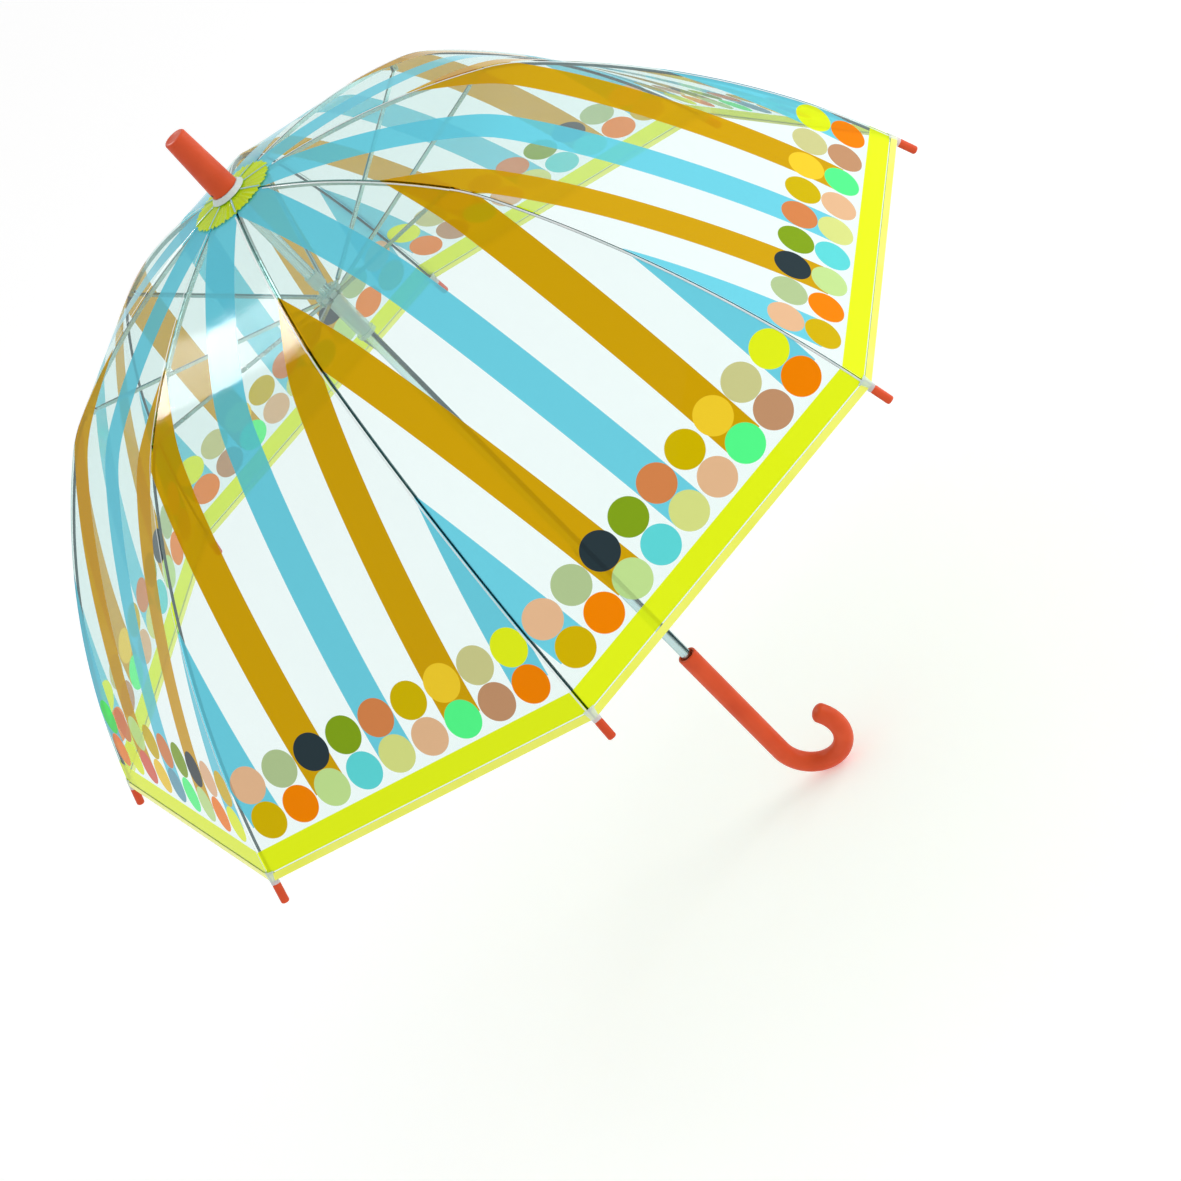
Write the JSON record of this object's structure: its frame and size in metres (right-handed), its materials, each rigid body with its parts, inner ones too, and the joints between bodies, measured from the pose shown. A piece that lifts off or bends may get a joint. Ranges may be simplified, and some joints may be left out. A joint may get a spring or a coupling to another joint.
{
  "type": "children's dome umbrella",
  "caption": "Folding dome umbrella for a child: clear printed film gores on sprung ribs, a sliding runner with struts, a tubular shaft and a crook handle.",
  "frame": {"origin": "middle of the handle's straight grip, on the shaft's axis", "axes": "+Z along the shaft towards the ferrule, with the canopy up; +X towards the side that the crook bends to"},
  "size_m": [0.6606, 0.6606, 0.6822],
  "materials": {
    "shaft_steel": "bright plated steel tube",
    "rib_steel": "bright pressed steel",
    "rod_steel": "dark sprung wire",
    "spring_steel": "satin",
    "orange_moulding": "satin orange-red moulding",
    "hub_plastic": "glossy milky white moulding",
    "washer_plastic": "clear moulded ring",
    "rosette_film": "printed lime film",
    "printed_film": "clear glossy film printed with stripes and dots"
  },
  "bodies": {
    "root": {"shaft": "shaft_steel", "ferrule": "orange_moulding", "washer": "washer_plastic", "rosette": "rosette_film", "crown": "hub_plastic", "crown_wire": "spring_steel", "stop_sleeve": "hub_plastic", "handle": "orange_moulding"},
    "runner": {"runner": "hub_plastic", "runner_wire": "spring_steel"},
    "top_catch": {"top_catch": "spring_steel"},
    "bottom_catch": {"bottom_catch": "spring_steel"},
    "rib_upper_1": {"rib_upper_1": "rib_steel"},
    "rib_lower_1": {"rib_lower_1": "rod_steel", "rib_tip_1": "orange_moulding"},
    "strut_1": {"strut_1": "rib_steel"},
    "gore_upper_1": {"gore_upper_1": "printed_film"},
    "gore_lower_1": {"gore_lower_1": "printed_film"},
    "rib_upper_2": {"rib_upper_2": "rib_steel"},
    "rib_lower_2": {"rib_lower_2": "rod_steel", "rib_tip_2": "orange_moulding"},
    "strut_2": {"strut_2": "rib_steel"},
    "gore_upper_2": {"gore_upper_2": "printed_film"},
    "gore_lower_2": {"gore_lower_2": "printed_film"},
    "rib_upper_3": {"rib_upper_3": "rib_steel"},
    "rib_lower_3": {"rib_lower_3": "rod_steel", "rib_tip_3": "orange_moulding"},
    "strut_3": {"strut_3": "rib_steel"},
    "gore_upper_3": {"gore_upper_3": "printed_film"},
    "gore_lower_3": {"gore_lower_3": "printed_film"},
    "rib_upper_4": {"rib_upper_4": "rib_steel"},
    "rib_lower_4": {"rib_lower_4": "rod_steel", "rib_tip_4": "orange_moulding"},
    "strut_4": {"strut_4": "rib_steel"},
    "gore_upper_4": {"gore_upper_4": "printed_film"},
    "gore_lower_4": {"gore_lower_4": "printed_film"},
    "rib_upper_5": {"rib_upper_5": "rib_steel"},
    "rib_lower_5": {"rib_lower_5": "rod_steel", "rib_tip_5": "orange_moulding"},
    "strut_5": {"strut_5": "rib_steel"},
    "gore_upper_5": {"gore_upper_5": "printed_film"},
    "gore_lower_5": {"gore_lower_5": "printed_film"},
    "rib_upper_6": {"rib_upper_6": "rib_steel"},
    "rib_lower_6": {"rib_lower_6": "rod_steel", "rib_tip_6": "orange_moulding"},
    "strut_6": {"strut_6": "rib_steel"},
    "gore_upper_6": {"gore_upper_6": "printed_film"},
    "gore_lower_6": {"gore_lower_6": "printed_film"},
    "rib_upper_7": {"rib_upper_7": "rib_steel"},
    "rib_lower_7": {"rib_lower_7": "rod_steel", "rib_tip_7": "orange_moulding"},
    "strut_7": {"strut_7": "rib_steel"},
    "gore_upper_7": {"gore_upper_7": "printed_film"},
    "gore_lower_7": {"gore_lower_7": "printed_film"},
    "rib_upper_8": {"rib_upper_8": "rib_steel"},
    "rib_lower_8": {"rib_lower_8": "rod_steel", "rib_tip_8": "orange_moulding"},
    "strut_8": {"strut_8": "rib_steel"},
    "gore_upper_8": {"gore_upper_8": "printed_film"},
    "gore_lower_8": {"gore_lower_8": "printed_film"}
  },
  "joints": [
    {"name": "fold", "type": "hinge", "parent": "root", "child": "rib_upper_1", "pos_m": [0.00693, 0.00287, 0.537], "axis": [-0.3827, 0.9239, 0], "range_deg": [0, 70.37], "deforming": ["gore_upper_1", "gore_upper_2", "gore_upper_3", "gore_upper_4", "gore_upper_5", "gore_upper_6", "gore_upper_7", "gore_upper_8", "gore_lower_1", "gore_lower_2", "gore_lower_3", "gore_lower_4", "gore_lower_5", "gore_lower_6", "gore_lower_7", "gore_lower_8", "top_catch", "bottom_catch"]},
    {"name": "knee_1", "type": "hinge", "parent": "rib_upper_1", "child": "rib_lower_1", "pos_m": [0.16366, 0.06779, 0.48885], "axis": [0.3827, -0.9239, 0], "range_deg": [0, 33.28]},
    {"name": "strut_hinge_1", "type": "hinge", "parent": "rib_upper_1", "child": "strut_1", "pos_m": [0.15648, 0.06482, 0.48883], "axis": [0.3827, -0.9239, 0], "range_deg": [0, 141.24]},
    {"name": "rib_hinge_2", "type": "hinge", "parent": "root", "child": "rib_upper_2", "pos_m": [0.00287, 0.00693, 0.537], "axis": [-0.9239, 0.3827, 0], "range_deg": [0, 70.87]},
    {"name": "knee_2", "type": "hinge", "parent": "rib_upper_2", "child": "rib_lower_2", "pos_m": [0.06779, 0.16366, 0.48885], "axis": [0.9239, -0.3827, 0], "range_deg": [0, 33.28]},
    {"name": "strut_hinge_2", "type": "hinge", "parent": "rib_upper_2", "child": "strut_2", "pos_m": [0.06482, 0.15648, 0.48883], "axis": [0.9239, -0.3827, 0], "range_deg": [0, 141.24]},
    {"name": "rib_hinge_3", "type": "hinge", "parent": "root", "child": "rib_upper_3", "pos_m": [-0.00287, 0.00693, 0.537], "axis": [-0.9239, -0.3827, 0], "range_deg": [0, 70.87]},
    {"name": "knee_3", "type": "hinge", "parent": "rib_upper_3", "child": "rib_lower_3", "pos_m": [-0.06779, 0.16366, 0.48885], "axis": [0.9239, 0.3827, 0], "range_deg": [0, 33.28]},
    {"name": "strut_hinge_3", "type": "hinge", "parent": "rib_upper_3", "child": "strut_3", "pos_m": [-0.06482, 0.15648, 0.48883], "axis": [0.9239, 0.3827, 0], "range_deg": [0, 141.24]},
    {"name": "rib_hinge_4", "type": "hinge", "parent": "root", "child": "rib_upper_4", "pos_m": [-0.00693, 0.00287, 0.537], "axis": [-0.3827, -0.9239, 0], "range_deg": [0, 70.87]},
    {"name": "knee_4", "type": "hinge", "parent": "rib_upper_4", "child": "rib_lower_4", "pos_m": [-0.16366, 0.06779, 0.48885], "axis": [0.3827, 0.9239, 0], "range_deg": [0, 33.28]},
    {"name": "strut_hinge_4", "type": "hinge", "parent": "rib_upper_4", "child": "strut_4", "pos_m": [-0.15648, 0.06482, 0.48883], "axis": [0.3827, 0.9239, 0], "range_deg": [0, 141.24]},
    {"name": "rib_hinge_5", "type": "hinge", "parent": "root", "child": "rib_upper_5", "pos_m": [-0.00693, -0.00287, 0.537], "axis": [0.3827, -0.9239, 0], "range_deg": [0, 70.87]},
    {"name": "knee_5", "type": "hinge", "parent": "rib_upper_5", "child": "rib_lower_5", "pos_m": [-0.16366, -0.06779, 0.48885], "axis": [-0.3827, 0.9239, 0], "range_deg": [0, 33.28]},
    {"name": "strut_hinge_5", "type": "hinge", "parent": "rib_upper_5", "child": "strut_5", "pos_m": [-0.15648, -0.06482, 0.48883], "axis": [-0.3827, 0.9239, 0], "range_deg": [0, 141.24]},
    {"name": "rib_hinge_6", "type": "hinge", "parent": "root", "child": "rib_upper_6", "pos_m": [-0.00287, -0.00693, 0.537], "axis": [0.9239, -0.3827, 0], "range_deg": [0, 70.87]},
    {"name": "knee_6", "type": "hinge", "parent": "rib_upper_6", "child": "rib_lower_6", "pos_m": [-0.06779, -0.16366, 0.48885], "axis": [-0.9239, 0.3827, 0], "range_deg": [0, 33.28]},
    {"name": "strut_hinge_6", "type": "hinge", "parent": "rib_upper_6", "child": "strut_6", "pos_m": [-0.06482, -0.15648, 0.48883], "axis": [-0.9239, 0.3827, 0], "range_deg": [0, 141.24]},
    {"name": "rib_hinge_7", "type": "hinge", "parent": "root", "child": "rib_upper_7", "pos_m": [0.00287, -0.00693, 0.537], "axis": [0.9239, 0.3827, 0], "range_deg": [0, 70.87]},
    {"name": "knee_7", "type": "hinge", "parent": "rib_upper_7", "child": "rib_lower_7", "pos_m": [0.06779, -0.16366, 0.48885], "axis": [-0.9239, -0.3827, 0], "range_deg": [0, 33.28]},
    {"name": "strut_hinge_7", "type": "hinge", "parent": "rib_upper_7", "child": "strut_7", "pos_m": [0.06482, -0.15648, 0.48883], "axis": [-0.9239, -0.3827, 0], "range_deg": [0, 141.24]},
    {"name": "rib_hinge_8", "type": "hinge", "parent": "root", "child": "rib_upper_8", "pos_m": [0.00693, -0.00287, 0.537], "axis": [0.3827, 0.9239, 0], "range_deg": [0, 70.87]},
    {"name": "knee_8", "type": "hinge", "parent": "rib_upper_8", "child": "rib_lower_8", "pos_m": [0.16366, -0.06779, 0.48885], "axis": [-0.3827, -0.9239, 0], "range_deg": [0, 33.28]},
    {"name": "strut_hinge_8", "type": "hinge", "parent": "rib_upper_8", "child": "strut_8", "pos_m": [0.15648, -0.06482, 0.48883], "axis": [-0.3827, -0.9239, 0], "range_deg": [0, 141.24]},
    {"name": "runner_hinge", "type": "hinge", "parent": "strut_1", "child": "runner", "pos_m": [0.00693, 0.00287, 0.44066], "axis": [-0.3827, 0.9239, 0], "range_deg": [0, 70.87]},
    {"name": "gore_hinge_1", "type": "hinge", "parent": "root", "child": "gore_upper_1", "pos_m": [0.0049, 0.0049, 0.537], "axis": [-0.7071, 0.7071, 0], "range_deg": [0, 68.76]},
    {"name": "gore_knee_1", "type": "hinge", "parent": "gore_upper_1", "child": "gore_lower_1", "pos_m": [0.11632, 0.11632, 0.49064], "axis": [0.7071, -0.7071, 0], "range_deg": [0, 33.18]},
    {"name": "gore_hinge_2", "type": "hinge", "parent": "root", "child": "gore_upper_2", "pos_m": [0, 0.00693, 0.537], "axis": [-1, 0, 0], "range_deg": [0, 68.76]},
    {"name": "gore_knee_2", "type": "hinge", "parent": "gore_upper_2", "child": "gore_lower_2", "pos_m": [0, 0.1645, 0.49064], "axis": [1, 0, 0], "range_deg": [0, 33.18]},
    {"name": "gore_hinge_3", "type": "hinge", "parent": "root", "child": "gore_upper_3", "pos_m": [-0.0049, 0.0049, 0.537], "axis": [-0.7071, -0.7071, 0], "range_deg": [0, 68.76]},
    {"name": "gore_knee_3", "type": "hinge", "parent": "gore_upper_3", "child": "gore_lower_3", "pos_m": [-0.11632, 0.11632, 0.49064], "axis": [0.7071, 0.7071, 0], "range_deg": [0, 33.18]},
    {"name": "gore_hinge_4", "type": "hinge", "parent": "root", "child": "gore_upper_4", "pos_m": [-0.00693, 0, 0.537], "axis": [0, -1, 0], "range_deg": [0, 68.76]},
    {"name": "gore_knee_4", "type": "hinge", "parent": "gore_upper_4", "child": "gore_lower_4", "pos_m": [-0.1645, 0, 0.49064], "axis": [0, 1, 0], "range_deg": [0, 33.18]},
    {"name": "gore_hinge_5", "type": "hinge", "parent": "root", "child": "gore_upper_5", "pos_m": [-0.0049, -0.0049, 0.537], "axis": [0.7071, -0.7071, 0], "range_deg": [0, 68.76]},
    {"name": "gore_knee_5", "type": "hinge", "parent": "gore_upper_5", "child": "gore_lower_5", "pos_m": [-0.11632, -0.11632, 0.49064], "axis": [-0.7071, 0.7071, 0], "range_deg": [0, 33.18]},
    {"name": "gore_hinge_6", "type": "hinge", "parent": "root", "child": "gore_upper_6", "pos_m": [0, -0.00693, 0.537], "axis": [1, 0, 0], "range_deg": [0, 68.76]},
    {"name": "gore_knee_6", "type": "hinge", "parent": "gore_upper_6", "child": "gore_lower_6", "pos_m": [0, -0.1645, 0.49064], "axis": [-1, 0, 0], "range_deg": [0, 33.18]},
    {"name": "gore_hinge_7", "type": "hinge", "parent": "root", "child": "gore_upper_7", "pos_m": [0.0049, -0.0049, 0.537], "axis": [0.7071, 0.7071, 0], "range_deg": [0, 68.76]},
    {"name": "gore_knee_7", "type": "hinge", "parent": "gore_upper_7", "child": "gore_lower_7", "pos_m": [0.11632, -0.11632, 0.49064], "axis": [-0.7071, -0.7071, 0], "range_deg": [0, 33.18]},
    {"name": "gore_hinge_8", "type": "hinge", "parent": "root", "child": "gore_upper_8", "pos_m": [0.00693, 0, 0.537], "axis": [0, 1, 0], "range_deg": [0, 68.76]},
    {"name": "gore_knee_8", "type": "hinge", "parent": "gore_upper_8", "child": "gore_lower_8", "pos_m": [0.1645, 0, 0.49064], "axis": [0, -1, 0], "range_deg": [0, 33.18]},
    {"name": "top_catch_press", "type": "hinge", "parent": "root", "child": "top_catch", "pos_m": [0.001, 0, 0.37826], "axis": [0, 1, 0], "range_deg": [0, 7], "stiffness_Nm_per_rad": 0.6},
    {"name": "bottom_catch_press", "type": "hinge", "parent": "root", "child": "bottom_catch", "pos_m": [0.001, 0, 0.19371], "axis": [0, -1, 0], "range_deg": [0, 7], "stiffness_Nm_per_rad": 0.6}
  ],
  "couplings": [
    {"joint": "knee_1", "follows": "fold", "ratio": 0.4658},
    {"joint": "strut_hinge_1", "follows": "fold", "ratio": 2},
    {"joint": "rib_hinge_2", "follows": "fold", "ratio": 1},
    {"joint": "knee_2", "follows": "fold", "ratio": 0.4658},
    {"joint": "strut_hinge_2", "follows": "fold", "ratio": 2},
    {"joint": "rib_hinge_3", "follows": "fold", "ratio": 1},
    {"joint": "knee_3", "follows": "fold", "ratio": 0.4658},
    {"joint": "strut_hinge_3", "follows": "fold", "ratio": 2},
    {"joint": "rib_hinge_4", "follows": "fold", "ratio": 1},
    {"joint": "knee_4", "follows": "fold", "ratio": 0.4658},
    {"joint": "strut_hinge_4", "follows": "fold", "ratio": 2},
    {"joint": "rib_hinge_5", "follows": "fold", "ratio": 1},
    {"joint": "knee_5", "follows": "fold", "ratio": 0.4658},
    {"joint": "strut_hinge_5", "follows": "fold", "ratio": 2},
    {"joint": "rib_hinge_6", "follows": "fold", "ratio": 1},
    {"joint": "knee_6", "follows": "fold", "ratio": 0.4658},
    {"joint": "strut_hinge_6", "follows": "fold", "ratio": 2},
    {"joint": "rib_hinge_7", "follows": "fold", "ratio": 1},
    {"joint": "knee_7", "follows": "fold", "ratio": 0.4658},
    {"joint": "strut_hinge_7", "follows": "fold", "ratio": 2},
    {"joint": "rib_hinge_8", "follows": "fold", "ratio": 1},
    {"joint": "knee_8", "follows": "fold", "ratio": 0.4658},
    {"joint": "strut_hinge_8", "follows": "fold", "ratio": 2},
    {"joint": "runner_hinge", "follows": "fold", "ratio": 1},
    {"joint": "gore_hinge_1", "follows": "fold", "ratio": 0.97},
    {"joint": "gore_knee_1", "follows": "fold", "ratio": 0.4644},
    {"joint": "gore_hinge_2", "follows": "fold", "ratio": 0.97},
    {"joint": "gore_knee_2", "follows": "fold", "ratio": 0.4644},
    {"joint": "gore_hinge_3", "follows": "fold", "ratio": 0.97},
    {"joint": "gore_knee_3", "follows": "fold", "ratio": 0.4644},
    {"joint": "gore_hinge_4", "follows": "fold", "ratio": 0.97},
    {"joint": "gore_knee_4", "follows": "fold", "ratio": 0.4644},
    {"joint": "gore_hinge_5", "follows": "fold", "ratio": 0.97},
    {"joint": "gore_knee_5", "follows": "fold", "ratio": 0.4644},
    {"joint": "gore_hinge_6", "follows": "fold", "ratio": 0.97},
    {"joint": "gore_knee_6", "follows": "fold", "ratio": 0.4644},
    {"joint": "gore_hinge_7", "follows": "fold", "ratio": 0.97},
    {"joint": "gore_knee_7", "follows": "fold", "ratio": 0.4644},
    {"joint": "gore_hinge_8", "follows": "fold", "ratio": 0.97},
    {"joint": "gore_knee_8", "follows": "fold", "ratio": 0.4644}
  ]
}
